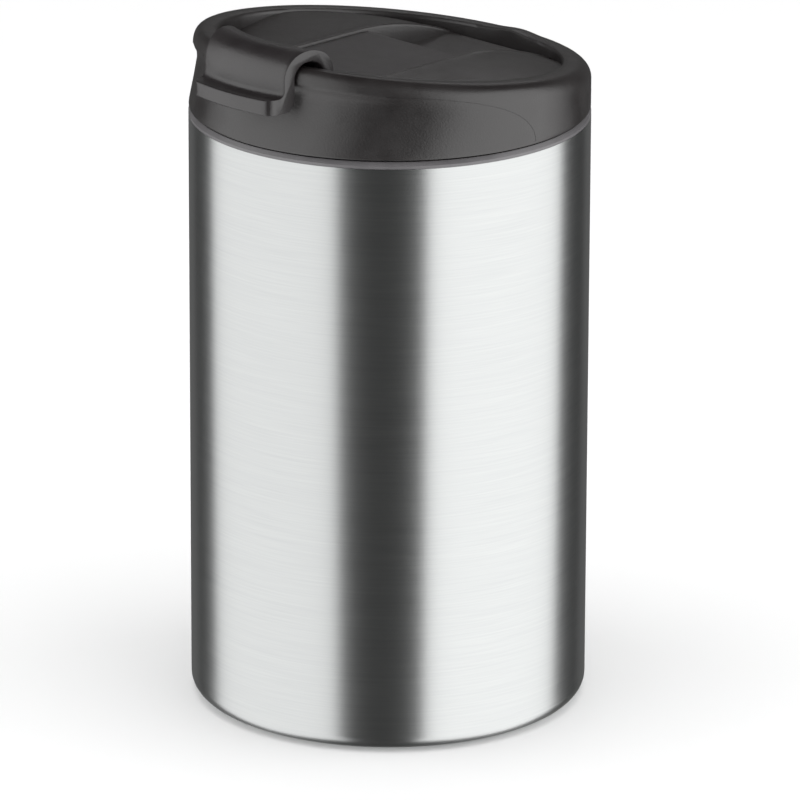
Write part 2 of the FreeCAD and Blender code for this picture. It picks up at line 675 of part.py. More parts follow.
def flap(doc, s, at):
    """Plate from the hinge to the rim, a hook over the rim and a thumb tab outside it."""
    body = make_body(doc, "flap")
    under = at["flap_under"]
    top = under + s["flap_thickness"]
    plate = sketch_on(body, "plate_outline", "YZ_Plane")
    rectangle(plate, -(s["hook_inside"] - 1), under, s["hinge_back"], top)
    padded(body, "plate", plate, s["flap_half"] * 2, both=True)
    barrel = sketch_on(body, "barrel_outline", "YZ_Plane")
    circle(barrel, s["hinge_back"], at["hinge"], s["barrel_radius"])
    padded(body, "barrel", barrel, s["flap_half"] * 2, both=True)
    # keep the plate's front inside the rim's round inner wall
    trim = s["hook_inside"] + 8
    turned(body, "plate_front", [
        (-s["hook_inside"], under - 1), (-trim, under - 1), (-trim, top + 1),
        (-s["hook_inside"], top + 1)], cut=True, angle=at["hook_angle"] * 2)
    inside = s["hook_inside"]
    root = inside - s["hook_thickness"]
    leg_inside = s["leg_inside"]
    leg_outside = s["leg_outside"]
    crown = at["hook_crown"]
    tab_low = at["floor"] + s["tab_rise"]
    tab_top = tab_low + s["tab_thickness"]
    turned(body, "hook", [
        (-inside, under),
        (-inside, crown, s["hook_span"] * 0.49),
        (-leg_inside, crown, s["hook_span"] * 0.49),
        (-leg_inside, tab_low, s["tab_bend"]),
        (-s["tab_radius"], tab_low, s["tab_round"]),
        (-s["tab_radius"], tab_top, s["tab_round"]),
        (-leg_outside, tab_top, s["hook_fillet"]),
        (-leg_outside, crown + s["hook_thickness"], at["arch_round"]),
        (-root, crown + s["hook_thickness"], at["arch_round"]),
        (-root, top, s["flap_root"]),
        (-(root - s["flap_root"] - 1), top),
        (-(root - s["flap_root"] - 1), under)], angle=at["hook_angle"])
    # the band narrows towards the thumb tab, whose corners are cut back
    sides = sketch_on(body, "sides_outline", "XY_Plane", under - 2)
    wide = s["flap_half"]
    far = s["tab_radius"] + 3
    for side in (1, -1):
        corner = s["tab_radius"] - s["tab_corner"]
        outline(sides, [
            (wide * side, -inside),
            (s["tab_half"] * side, -corner),
            ((s["tab_half"] - s["tab_corner"]) * side, -far),
            ((wide * 2) * side, -far),
            ((wide * 2) * side, 0),
            (wide * side, 0)])
    pocketed(body, "sides", sides, crown - under + s["hook_thickness"] + 4, upward=True)
    bore = sketch_on(body, "pin_bore_outline", "YZ_Plane")
    circle(bore, s["hinge_back"], at["hinge"], s["pin_radius"] + s["pin_play"])
    pocketed(body, "pin_bore", bore, s["flap_half"] * 2 + 2, both=True)
    return body


def drink_seal(doc, s, at):
    body = make_body(doc, "drink_seal")
    reach = (s["spout_wall"] + s["seal_overhang"]) * 2
    rim = at["seat_top"] + s["seal_lift"]
    flange = sketch_on(body, "flange_outline", "XY_Plane", rim)
    oval(flange, -s["spout_back"], s["spout_length"] + reach, s["spout_width"] + reach)
    padded(body, "flange", flange, at["flap_under"] - rim)
    play = s["seal_play"] * 2
    plug = sketch_on(body, "plug_outline", "XY_Plane", rim - s["seal_plug"])
    oval(plug, -s["spout_back"], s["spout_length"] - play, s["spout_width"] - play)
    padded(body, "plug", plug, s["seal_plug"])
    return body


def vent_seal(doc, s, at):
    body = make_body(doc, "vent_seal")
    rim = at["seat_top"] + s["seal_lift"]
    flange = sketch_on(body, "flange_outline", "XY_Plane", rim)
    circle(flange, 0, -s["vent_back"], s["vent_bore"] + s["vent_wall"] + s["seal_overhang"] / 2)
    padded(body, "flange", flange, at["flap_under"] - rim)
    plug = sketch_on(body, "plug_outline", "XY_Plane", rim - s["seal_plug"])
    circle(plug, 0, -s["vent_back"], s["vent_bore"] - s["seal_play"])
    padded(body, "plug", plug, s["seal_plug"])
    return body


# ---- the whole mug -----------------------------------------------------------------

def levels(s):
    """Heights that several pieces share."""
    at = {"shelf": s["foot_proud"] + s["shell_wall"]}
    at["collar_top"] = s["shell_top"] + s["band_height"] + s["band_slope"]
    at["lid_low"] = at["collar_top"] + s["lid_gap"]
    at["plug_low"] = at["lid_low"] - s["plug_depth"]
    at["shoulder"] = at["plug_low"] - s["shoulder_play"]
    at["collar_low"] = at["shoulder"] - s["pocket_depth"]
    at["cup_top"] = at["shoulder"] - s["cup_seal_height"]
    at["gasket_top"] = at["lid_low"] - s["gasket_drop"]
    at["gasket_low"] = at["gasket_top"] - s["gasket_height"]
    at["thread_start"] = at["plug_low"] + s["thread_end_gap"]
    at["thread_offset"] = s["thread_lead"] / s["thread_starts"] / 2
    at["thread_climb"] = (at["gasket_low"] - at["thread_start"] - at["thread_offset"]
                          - s["thread_root"] / 2 - s["thread_top_gap"])
    at["deck_under"] = at["lid_low"] + s["deck_height"]
    at["floor"] = at["deck_under"] + s["deck_floor"]
    at["wing_top"] = at["floor"] + s["wing_rise"]
    at["seat_top"] = at["floor"] + s["spout_proud"]
    at["flap_under"] = at["floor"] + s["flap_rise"]
    at["hinge"] = at["flap_under"] + s["flap_thickness"] + s["barrel_proud"] - s["barrel_radius"]
    rim_top = at["lid_low"] + s["rim_rise"] + s["lid_radius"] * tangent(s["rim_tilt"])
    at["hook_crown"] = rim_top + s["arch_play"]
    at["arch_round"] = (s["hook_span"] + s["hook_thickness"] * 2) * 0.49
    half = s["flap_half"] + s["flap_side_gap"]
    ratio = half / s["rim_inner"]
    at["channel_angle"] = Size(2 * math.degrees(math.asin(ratio.value)),
                               "(2 * asin(%s) / 1 deg)" % ratio.text)
    spread = s["flap_half"] / (s["hook_inside"] - s["hook_thickness"] - s["flap_root"] - 1)
    at["hook_angle"] = Size(2 * math.degrees(math.asin(spread.value)) + 4,
                            "(2 * asin(%s) / 1 deg + 4)" % spread.text)
    return at


MAKERS = (foot_pad, outer_shell, base_plate, inner_cup, cup_seal, cup_retainer, collar,
          shell_seal, lid_gasket, lid_base, cover_seal, lid_cover, hinge_pin, flap,
          drink_seal, vent_seal)


def check(doc, pieces):
    """Stop on any failed object or bad solid."""
    for item in doc.Objects:
        if "Invalid" in item.State or "Error" in item.State:
            raise RuntimeError("%s did not compute: %s" % (item.Label, item.State))
    for piece in pieces:
        shape = piece.Shape
        if shape.isNull() or not shape.isValid() or len(shape.Solids) != 1:
            raise RuntimeError("%s is not one valid solid" % piece.Label)
        print("%-14s %9.1f mm3  %s" % (piece.Label, shape.Volume, shape.BoundBox))


def main():
    doc = FreeCAD.newDocument("travel_mug")
    s = fitted(make_sheet(doc))
    at = levels(s)
    pieces = [maker(doc, s, at) for maker in MAKERS]
    doc.recompute()
    check(doc, pieces)
    os.makedirs("parts", exist_ok=True)
    for piece in pieces:
        piece.Shape.exportStep("parts/%s.step" % piece.Label)


main()
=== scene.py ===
# Insulated travel mug: brushed steel body, black moulded lid and hooked drinking flap.
# The CAD frame stays where it is; the pieces made here dress its visible surfaces.
import math

import bmesh
import bpy
from mathutils import Matrix, Vector


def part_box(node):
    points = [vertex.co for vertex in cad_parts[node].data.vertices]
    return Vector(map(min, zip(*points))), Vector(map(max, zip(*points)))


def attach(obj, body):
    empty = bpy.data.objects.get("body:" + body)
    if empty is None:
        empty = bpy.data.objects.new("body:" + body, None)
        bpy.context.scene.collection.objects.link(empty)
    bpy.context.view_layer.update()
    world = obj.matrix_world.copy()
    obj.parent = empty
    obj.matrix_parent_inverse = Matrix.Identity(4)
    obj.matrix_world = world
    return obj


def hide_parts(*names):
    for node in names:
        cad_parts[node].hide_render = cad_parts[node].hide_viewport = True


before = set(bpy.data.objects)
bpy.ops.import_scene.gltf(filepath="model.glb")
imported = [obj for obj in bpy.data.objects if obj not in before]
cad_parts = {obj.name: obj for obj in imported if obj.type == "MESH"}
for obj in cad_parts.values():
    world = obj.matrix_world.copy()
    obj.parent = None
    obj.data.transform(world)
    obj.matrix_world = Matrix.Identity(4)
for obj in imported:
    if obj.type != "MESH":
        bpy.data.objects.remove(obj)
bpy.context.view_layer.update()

MM = 0.001


def corners_of(node):
    """Lowest and highest corner of a CAD node in millimetres."""
    low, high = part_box(node)
    return low / MM, high / MM


# Places taken from the CAD nodes, in millimetres.
shell_low, shell_high = corners_of("outer_shell")
foot_high = corners_of("foot_pad")[1]
cover_low = corners_of("lid_cover")[0]
seal_high = corners_of("cover_seal")[1]
pin_low, pin_high = corners_of("hinge_pin")
flap_high = corners_of("flap")[1]

BODY_R = shell_high.x
BODY_TOP = shell_high.z
LID_LOW = cover_low.z
DECK_LOW = seal_high.z
HINGE_Y = (pin_low.y + pin_high.y) / 2
HINGE_Z = (pin_low.z + pin_high.z) / 2
FLAP_HALF = flap_high.x

# Sizes chosen here, in millimetres.
DECK_THICK = 2.25
FLAP_PLAY = 0.3
FLAP_OVER_PIN = 1.6
WITNESS = 0.12
SAME_SPOT = 0.002

FLOOR = DECK_LOW + DECK_THICK
CHANNEL_HALF = FLAP_HALF + FLAP_PLAY
FLAP_TOP = HINGE_Z + FLAP_OVER_PIN
# The wall stands in by half a witness line, so that the line ends level with the body.
LID_R = BODY_R - WITNESS / 2
# Steps in a full turn.
ROUND = 192


# ---- modelling helpers -------------------------------------------------------------

def deselect():
    """Leave edit mode and select nothing."""
    if bpy.context.mode != "OBJECT":
        bpy.ops.object.mode_set(mode="OBJECT")
    bpy.ops.object.select_all(action="DESELECT")


def edit(piece):
    """Open a piece in edit mode with all of it selected."""
    deselect()
    piece.select_set(True)
    bpy.context.view_layer.objects.active = piece
    bpy.ops.object.mode_set(mode="EDIT")
    bpy.ops.mesh.select_all(action="SELECT")


def tidy_mesh():
    """Close seams and poles and point every face outwards."""
    bpy.ops.mesh.select_all(action="SELECT")
    bpy.ops.mesh.remove_doubles(threshold=SAME_SPOT * MM)
    bpy.ops.mesh.normals_make_consistent(inside=False)
    bpy.ops.object.mode_set(mode="OBJECT")


def rounded(corners, steps=7):
    """Points along straight sides; a third value rounds that corner."""
    points = []
    for i, corner in enumerate(corners):
        here = Vector(corner[:2])
        if len(corner) < 3:
            points.append(tuple(here))
            continue
        back = (Vector(corners[i - 1][:2]) - here).normalized()
        ahead = (Vector(corners[(i + 1) % len(corners)][:2]) - here).normalized()
        half = back.angle(ahead) / 2
        radius = corner[2]
        centre = here + (back + ahead).normalized() * radius / math.sin(half)
        start = here + back * radius / math.tan(half) - centre
        end = here + ahead * radius / math.tan(half) - centre
        sweep = start.angle(end)
        for k in range(steps + 1):
            t = k / steps
            arm = start * math.sin((1 - t) * sweep) + end * math.sin(t * sweep)
            points.append(tuple(centre + arm / math.sin(sweep)))
    return points


def divided(points, longest):
    """Split sides that are longer than the given length."""
    result = []
    for i, point in enumerate(points):
        here = Vector(point)
        there = Vector(points[(i + 1) % len(points)])
        parts = max(1, math.ceil((there - here).length / longest))
        result += [tuple(here.lerp(there, k / parts)) for k in range(parts)]
    return result


def trace(name, points, closed=True):
    """Draw an outline by pulling one vertex from point to point; points are in millimetres."""
    deselect()
    bpy.ops.mesh.primitive_plane_add(size=MM)
    piece = bpy.context.object
    piece.name = piece.data.name = name
    edit(piece)
    bpy.ops.mesh.merge(type="CENTER")
    route = [Vector(p) * MM for p in points]
    if closed:
        route.append(route[0])
    bpy.ops.transform.translate(value=route[0])
    for back, ahead in zip(route, route[1:]):
        bpy.ops.mesh.extrude_vertices_move(TRANSFORM_OT_translate={"value": ahead - back})
    bpy.ops.mesh.select_all(action="SELECT")
    if closed:
        bpy.ops.mesh.remove_doubles(threshold=SAME_SPOT * MM)
    return piece


def turned(name, outline, closed=True, steps=ROUND):
    """Spin an outline of (radius, height) round the mug's axis."""
    piece = trace(name, [(r, 0, z) for r, z in outline], closed)
    bpy.ops.mesh.spin(steps=steps, angle=2 * math.pi, center=(0, 0, 0), axis=(0, 0, 1))
    tidy_mesh()
    return piece


def barrel(name, radius, low, high, back=0.0, stretch=0.0, steps=ROUND):
    """An upright cylinder, pulled apart along X by stretch to make an oval."""
    deselect()
    bpy.ops.mesh.primitive_cylinder_add(
        vertices=steps, radius=radius * MM, depth=(high - low) * MM)
    piece = bpy.context.object
    piece.name = piece.data.name = name
    edit(piece)
    bpy.ops.transform.translate(value=(0, back * MM, (low + high) / 2 * MM))
    if stretch:
        for side in (1, -1):
            bpy.ops.mesh.select_all(action="DESELECT")
            mesh = bmesh.from_edit_mesh(piece.data)
            for vertex in mesh.verts:
                vertex.select = vertex.co.x * side > 1e-7
            mesh.select_flush(True)
            bmesh.update_edit_mesh(piece.data)
            bpy.ops.transform.translate(value=(side * stretch * MM, 0, 0))
    bpy.ops.object.mode_set(mode="OBJECT")
    return piece


def apply_modifier(piece, kind, **settings):
    """Add a modifier with its settings and bake it into the mesh."""
    deselect()
    piece.select_set(True)
    bpy.context.view_layer.objects.active = piece
    modifier = piece.modifiers.new(kind.lower(), kind)
    for name, value in settings.items():
        setattr(modifier, name, value)
    bpy.ops.object.modifier_apply(modifier=modifier.name)


def combine(piece, other, how):
    """UNION, DIFFERENCE or INTERSECT with another piece, which is used up."""
    apply_modifier(piece, "BOOLEAN", object=other, operation=how, solver="EXACT")
    bpy.data.objects.remove(other)


def dress(piece, body, slot, material, *nodes, angle=34):
    """Shade a finished piece, give it its material and fasten it to its body."""
    deselect()
    piece.select_set(True)
    bpy.context.view_layer.objects.active = piece
    bpy.ops.object.shade_smooth_by_angle(angle=math.radians(angle))
    piece.data.materials.clear()
    piece.data.materials.append(material)
    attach(piece, body)
    if nodes:
        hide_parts(*nodes)


# ---- materials ---------------------------------------------------------------------

# Sizes of the broader unevenness in millimetres: bands in the brushing, clouds in plastic.
BAND_LONG = 16.7
BAND_HIGH = 0.38
CLOUD = 6.25
# How deep the brushed lines and the eroded grain are, in millimetres.
LINE_DEEP = 0.02
GRAIN_DEEP = 0.06


def colour(text):
    """sRGB hex to linear RGBA."""
    parts = [int(text[i:i + 2], 16) / 255 for i in (1, 3, 5)]
    linear = [c / 12.92 if c <= 0.04045 else ((c + 0.055) / 1.055) ** 2.4 for c in parts]
    return (*linear, 1.0)


def add(tree, kind, values=None, links=None, stops=(), **settings):
    """Add a node with its socket values, incoming links, colour stops and settings."""
    node = tree.nodes.new(kind)
    for name, value in settings.items():
        setattr(node, name, value)
    for name, value in (values or {}).items():
        node.inputs[name].default_value = value
    for name, source in (links or {}).items():
        tree.links.new(source, node.inputs[name])
    for k, (position, shade) in enumerate(stops):
        node.color_ramp.elements[k].position = position
        node.color_ramp.elements[k].color = shade
    return node


def start_material(name):
    """An empty material with its shader, its output and Object coordinates."""
    material = bpy.data.materials.new(name)
    material.use_nodes = True
    tree = material.node_tree
    tree.nodes.clear()
    shader = add(tree, "ShaderNodeBsdfPrincipled")
    add(tree, "ShaderNodeOutputMaterial", links={"Surface": shader.outputs["BSDF"]})
    place = add(tree, "ShaderNodeTexCoord").outputs["Object"]
    return material, tree, shader, place


def steel(name, tint_low, tint_high, rough_low, rough_high, line, length, depth, drawn):
    """Stainless steel with fine lines round the axis, line apart and length long in mm.

    Depth is the lines' bump, and drawn is how far they pull the shine out sideways.
    """
    material, tree, shader, place = start_material(name)
    shader.inputs["Metallic"].default_value = 1.0
    shader.inputs["Anisotropic"].default_value = drawn
    shader.inputs["Anisotropic Rotation"].default_value = 0.25
    stretch = (1000 / length, 1000 / length, 1000 / line)
    fine = add(tree, "ShaderNodeMapping", {"Scale": stretch}, {"Vector": place})
    lines = add(tree, "ShaderNodeTexNoise", {"Scale": 1.0, "Detail": 3.0, "Roughness": 0.6},
                {"Vector": fine.outputs["Vector"]})
    patches = (1000 / BAND_LONG, 1000 / BAND_LONG, 1000 / BAND_HIGH)
    broad = add(tree, "ShaderNodeMapping", {"Scale": patches}, {"Vector": place})
    bands = add(tree, "ShaderNodeTexNoise", {"Scale": 1.0, "Detail": 2.0},
                {"Vector": broad.outputs["Vector"]})
    fainter = add(tree, "ShaderNodeMath", {1: 0.5}, {0: lines.outputs["Fac"]},
                  operation="MULTIPLY")
    total = add(tree, "ShaderNodeMath", {1: 0.5},
                {0: bands.outputs["Fac"], 2: fainter.outputs["Value"]}, operation="MULTIPLY_ADD")
    tint = add(tree, "ShaderNodeValToRGB", links={"Fac": total.outputs["Value"]},
               stops=((0.3, colour(tint_low)), (0.7, colour(tint_high)))).outputs["Color"]
    tree.links.new(tint, shader.inputs["Base Color"])
    rough = add(tree, "ShaderNodeMapRange",
                {"From Min": 0.3, "From Max": 0.7, "To Min": rough_low, "To Max": rough_high},
                {"Value": total.outputs["Value"]})
    tree.links.new(rough.outputs["Result"], shader.inputs["Roughness"])
    bump = add(tree, "ShaderNodeBump", {"Strength": depth, "Distance": LINE_DEEP * MM},
               {"Height": lines.outputs["Fac"]})
    tree.links.new(bump.outputs["Normal"], shader.inputs["Normal"])
    way = add(tree, "ShaderNodeTangent", direction_type="RADIAL", axis="Z")
    tree.links.new(way.outputs["Tangent"], shader.inputs["Tangent"])
    return material


def moulding(name, dark, light, roughness, grain, depth, ior=1.55):
    """Moulded polymer with a spark-eroded grain of the given size in mm and bump depth."""
    material, tree, shader, place = start_material(name)
    shader.inputs["IOR"].default_value = ior
    shader.inputs["Specular IOR Level"].default_value = 1.0
    speckle = add(tree, "ShaderNodeTexNoise",
                  {"Scale": 1000 / grain, "Detail": 2.0, "Roughness": 0.55}, {"Vector": place})
    cloud = add(tree, "ShaderNodeTexNoise", {"Scale": 1000 / CLOUD, "Detail": 4.0},
                {"Vector": place})
    tint = add(tree, "ShaderNodeValToRGB", links={"Fac": cloud.outputs["Fac"]},
               stops=((0.35, colour(dark)), (0.65, colour(light)))).outputs["Color"]
    tree.links.new(tint, shader.inputs["Base Color"])
    rough = add(tree, "ShaderNodeMapRange",
                {"From Min": 0.3, "From Max": 0.7, "To Min": roughness - 0.05,
                 "To Max": roughness + 0.06}, {"Value": cloud.outputs["Fac"]})
    tree.links.new(rough.outputs["Result"], shader.inputs["Roughness"])
    bump = add(tree, "ShaderNodeBump", {"Strength": depth, "Distance": GRAIN_DEEP * MM},
               {"Height": speckle.outputs["Fac"]})
    tree.links.new(bump.outputs["Normal"], shader.inputs["Normal"])
    return material


# Stainless steel brushed round the body: bright and dark upright bands with fine level
# lines. Real brushing is finer; the lines are as far apart as they need to be to show.
brushed_steel = steel(
    "brushed_stainless_steel", "#d2d4d4", "#dcdedd", rough_low=0.28, rough_high=0.33,
    line=0.13, length=14.0, depth=0.2, drawn=0.7)
# Deep-drawn stainless steel, left smooth: a softer and slightly darker shine.
drawn_steel = steel(
    "drawn_stainless_steel", "#b4b5b5", "#c6c7c7", rough_low=0.24, rough_high=0.3,
    line=0.5, length=60.0, depth=0.1, drawn=0.3)
# Spark-eroded black polypropylene: satin and faintly warm. The grain is drawn several
# times coarser than real spark erosion, so that it shows.
lid_plastic = moulding(
    "black_polypropylene_grained", "#1b1717", "#211d1d", roughness=0.38, grain=0.42, depth=0.55)
# The flap is moulded from the same plastic in another tool: a slightly glossier satin.
flap_plastic = moulding(
    "black_polypropylene_fine", "#1e1a1b", "#252122", roughness=0.36, grain=0.42, depth=0.6)
# The collar is a smoother, dark grey moulding whose chamfer catches the light. Its colour is
# partly its own dark grey and partly painted sheen: it is painted much lighter than the lid to
# stand in for the light on the chamfer.
collar_plastic_painted_sheen = moulding(
    "grey_polypropylene_with_painted_sheen", "#5a585a", "#636163", roughness=0.34, grain=0.5, depth=0.2)
# Food-grade silicone: soft, matte and a little lighter than the plastic.
silicone = moulding(
    "grey_silicone", "#5c5b5a", "#646362", roughness=0.55, grain=0.6, depth=0.2, ior=1.41)
# Moulded rubber with a dull surface.
foot_rubber = moulding(
    "black_rubber", "#191818", "#1e1d1d", roughness=0.7, grain=0.5, depth=0.6, ior=1.52)


# ---- steel body --------------------------------------------------------------------

def steel_sleeve():
    """The brushed shell: a straight wall, rounded in at the bottom to the foot."""
    thick = 0.7
    bend = 3.0
    hole = foot_high.x + 0.2
    low = shell_low.z
    inside = BODY_R - thick
    outline = rounded([
        (hole, low), (BODY_R, low, bend), (BODY_R, BODY_TOP, 0.15), (inside, BODY_TOP, 0.1),
        (inside, low + thick, bend - thick), (hole, low + thick)])
    piece = turned("steel_sleeve", outline, steps=256)
    dress(piece, "mug", "brushed_shell", brushed_steel, "outer_shell")
    return piece


def foot_disc():
    """The rubber disc under the mug, with round grooves on its underside."""
    top = foot_high.z
    edge = foot_high.x
    deep = 0.25
    outline = [(0, 0)]
    for groove in (9, 15, 21, 26):
        outline += [(groove - 0.5, 0), (groove - 0.3, deep), (groove + 0.3, deep),
                    (groove + 0.5, 0)]
    outline += [(edge - 0.3, 0), (edge - 0.09, 0.09), (edge, 0.3), (edge, top), (0, top)]
    piece = turned("foot_disc", outline, closed=False, steps=128)
    dress(piece, "mug", "foot_rubber", foot_rubber, "foot_pad")
    return piece


# ---- lid ---------------------------------------------------------------------------

# Heights are over the lid's lower edge and angles are degrees from the hook.
TILT = math.tan(math.radians(7.22))
WALL_START = 0.35
TILT_RUN = 7.6
NECK_RUN = 6.55
NECK_IN = 1.73
LIP_IN = 0.92
LIP_START = 7.2
LIP_MIDDLE = 9.2
LIP_ROUND = 3.15
RIM_ROUND = 3.1
LOW_RIM_LIFT = 0.35
# Inside this radius and under this height nothing tilts, so that the deck fits in level.
SOCKET_R, SOCKET_HIGH = 38.5, 4
# The draw-in grows from nothing to full between these radii, so the inside stays round.
INNER_WALL, OUTER_WALL = 35.5, 36.9


def eased(low, high, at):
    """0 below low, 1 above high, and a smooth step between."""
    t = min(1.0, max(0.0, (at - low) / (high - low)))
    return t * t * (3 - 2 * t)


def drawn_in(rise, turn):
    """How far the wall stands in at a height and at an angle in degrees from the hook."""
    away = abs(turn)
    share = 1 - eased(42, 78, away)
    deeper = 1 + 0.4 * max(0.0, 1 - (away / 45) ** 2)
    if rise < LIP_MIDDLE:
        skirt = min(1.0, max(0.0, (rise - WALL_START) / NECK_RUN)) ** 1.25
        depth = NECK_IN * skirt - (NECK_IN - LIP_IN) * eased(LIP_START, LIP_MIDDLE, rise)
    else:
        depth = LIP_IN * math.sqrt(max(0.0, 1 - ((rise - LIP_MIDDLE) / LIP_ROUND) ** 2))
    return depth * share * deeper


def tilt_share(rise, turn):
    """How much of the rim's tilt the wall has: late under the lip, evenly at the back.

    At the back the tilt lowers the wall, and a late start there would fold it over itself.
    """
    front = 1 - eased(60, 120, abs(turn))
    climb = min(1.0, max(0.0, (rise - WALL_START) / TILT_RUN))
    return climb ** (1 + 1.6 * front)


def lid_spot(radius, rise, turn):
    """Place of a point of the lid's wall in millimetres, for an angle from the hook."""
    outer = eased(INNER_WALL, OUTER_WALL, radius)
    reach = radius - drawn_in(rise, turn) * outer
    angle = math.radians(turn)
    x, y = reach * math.sin(angle), -reach * math.cos(angle)
    under_deck = radius < SOCKET_R and rise < SOCKET_HIGH
    share = 0 if under_deck else tilt_share(rise, turn)
    z = LID_LOW + rise - share * TILT * y
    back = 1 - eased(0, 9, abs(abs(turn) - 180))
    if rise > 11.8:
        z += LOW_RIM_LIFT * back
    return Vector((x, y, z))


def lid_ring():
    """The lid's wall and rim, spun level and then tilted and drawn in."""
    outline = [(38.0, 0.2), (38.2, 0.0), (39.6, 0.0), (39.84, 0.1)]
    outline += [(LID_R, rise) for rise in (0.35, 0.9, 1.6, 2.6, 3.6, 4.5, 5.4, 6.2, 6.9, 7.5,
                                           7.95, 8.5, 9.2)]
    for step in range(10):
        turn = math.radians(10 * step)
        outline.append((LID_R - RIM_ROUND + RIM_ROUND * math.cos(turn),
                        9.25 + RIM_ROUND * math.sin(turn)))
    outline += [(36.0, 12.34), (34.9, 12.3), (34.5, 12.15), (34.25, 11.85), (34.15, 11.4),
                (34.0, 9.0), (33.9, 6.0), (33.8, DECK_LOW - LID_LOW), (38.0, DECK_LOW - LID_LOW)]
    piece = turned("lid_body", outline, steps=288)
    for vertex in piece.data.vertices:
        x, y, z = vertex.co / MM
        turn = math.degrees(math.atan2(x, -y))
        vertex.co = lid_spot(math.hypot(x, y), z, turn) * MM
    return piece


WING_RISE = 5.55
WING_REACH = 34.6
WING_ROOT = 127.0
WING_LEVEL = 14.6
BEND_Y, BEND_R = 4.0, 66.0
WING_FALL = math.radians(26.6)
WING_SLICES = 16


def wing(side):
    """One side of the deck: level beside the flap, then falling in an arc to the low rim.

    A low bead runs along its inner edge.
    """
    top = FLOOR + WING_RISE
    inner = CHANNEL_HALF
    section = [(WING_REACH, top), (32, top), (29, top), (26, top), (23, top), (20, top),
               (17, top), (WING_LEVEL, top), (inner + 1.15, top + 0.05),
               (inner + 0.9, top + 0.18), (inner + 0.6, top + 0.24), (inner + 0.3, top + 0.18),
               (inner + 0.1, top), (inner, top - 0.25), (inner, WING_ROOT),
               (WING_REACH, WING_ROOT)]
    start = -WING_REACH
    piece = trace("wing", [(side * x, start, z) for x, z in section])
    bpy.ops.mesh.edge_face_add()
    along = (BEND_Y - start) / WING_SLICES * MM
    for _ in range(WING_SLICES):
        bpy.ops.mesh.extrude_region_move(TRANSFORM_OT_translate={"value": (0, along, 0)})
    centre = Vector((0, BEND_Y, top - BEND_R)) * MM
    bpy.ops.mesh.spin(steps=20, angle=WING_FALL, center=centre, axis=(1, 0, 0))
    bpy.ops.mesh.extrude_region_move(TRANSFORM_OT_translate={
        "value": Vector((0, math.cos(WING_FALL), -math.sin(WING_FALL))) * 3 * MM})
    tidy_mesh()
    for vertex in piece.data.vertices:
        x, y, z = vertex.co / MM
        across = max(0.0, abs(x) - WING_LEVEL) / 20
        dome = min(1.8, 0.35 + 0.085 * abs(y - 3))
        if z > WING_ROOT + 0.2 or y > BEND_Y:
            vertex.co.z -= dome * across ** 2 * MM
    return piece


DECK_R = 34.75
TRIM_R = 34.45
RAMP_Y = 30.4
RAMP_SLOPE = math.radians(25)
SPOUT_R, SPOUT_STRETCH, SPOUT_Y = 4.85, 3.0, -25.2
VENT_R, VENT_Y = 2.65, -7.0


def lid_body():
    """Rim, deck and wings joined as one moulding, with the spout and the vent cut through."""
    piece = lid_ring()
    deck = barrel("deck", DECK_R, DECK_LOW + 0.12, FLOOR)
    edit(deck)
    bpy.ops.mesh.bisect(plane_co=Vector((0, RAMP_Y, FLOOR)) * MM,
                        plane_no=(0, math.sin(RAMP_SLOPE), math.cos(RAMP_SLOPE)),
                        use_fill=True, clear_outer=True)
    bpy.ops.object.mode_set(mode="OBJECT")
    for side in (1, -1):
        half = wing(side)
        combine(half, barrel("trim", TRIM_R, DECK_LOW + 0.6, 142, steps=200), "INTERSECT")
        combine(deck, half, "UNION")
    low, high = DECK_LOW - 1, FLOOR + 1
    spout = barrel("spout_cut", SPOUT_R, low, high, SPOUT_Y, SPOUT_STRETCH, 64)
    combine(deck, spout, "DIFFERENCE")
    vent = barrel("vent_cut", VENT_R, low, high, VENT_Y, steps=48)
    combine(deck, vent, "DIFFERENCE")
    combine(piece, deck, "UNION")
    edit(piece)
    tidy_mesh()
    dress(piece, "lid", "lid_plastic", lid_plastic, "lid_cover", angle=30)
    return piece


def wall_spot(turn, height):
    """Point on the outside of the lid's wall at an angle from the hook and a true height."""
    rise = height - LID_LOW
    for _ in range(12):
        spot = lid_spot(LID_R, rise, turn)
        rise += height - spot.z
    return spot


def witness_line(name, route, thickness):
    """A fine raised line that the mould's joint leaves on the lid's wall."""
    deselect()
    bpy.ops.mesh.primitive_circle_add(vertices=6, radius=thickness / 2 * MM)
    piece = bpy.context.object
    piece.name = piece.data.name = name
    spots = [wall_spot(turn, height) for turn, height in route]
    edit(piece)
    bpy.ops.mesh.edge_face_add()
    for k, spot in enumerate(spots):
        if k:
            bpy.ops.mesh.extrude_region_move()
        along = (spots[min(k + 1, len(spots) - 1)] - spots[max(k - 1, 0)]).normalized()
        out = Vector((spot.x, spot.y, 0)).normalized()
        side = along.cross(out).normalized()
        out = side.cross(along)
        mesh = bmesh.from_edit_mesh(piece.data)
        chosen = [v for v in mesh.verts if v.select]
        for n, vertex in enumerate(chosen):
            turn = 2 * math.pi * n / len(chosen)
            arm = side * math.cos(turn) + out * math.sin(turn)
            vertex.co = (spot + arm * thickness / 2) * MM
        bmesh.update_edit_mesh(piece.data)
    tidy_mesh()
    dress(piece, "lid", "lid_plastic", lid_plastic)
    return piece


def witness_lines():
    """The mould's joint runs in a quarter oval from under the lip down to the skirt."""
    route = []
    for k in range(19):
        turn = math.radians(5 * k)
        route.append((44 + 46.5 * math.sin(turn), 123.4 + 12 * math.cos(turn)))
    witness_line("witness_right", route, WITNESS)
    witness_line("witness_left", [(-turn, height) for turn, height in route], WITNESS)


# ---- flap --------------------------------------------------------------------------

TAB_REACH = 45.0
TAB_CORNER = 1.6
TAPER, TAPER_START = 0.16, 32.5
FLAP_THICK = 2.4
KNUCKLE_R = 1.7
EDGE_BEVEL = 0.22
FLAP_SLICES = 28


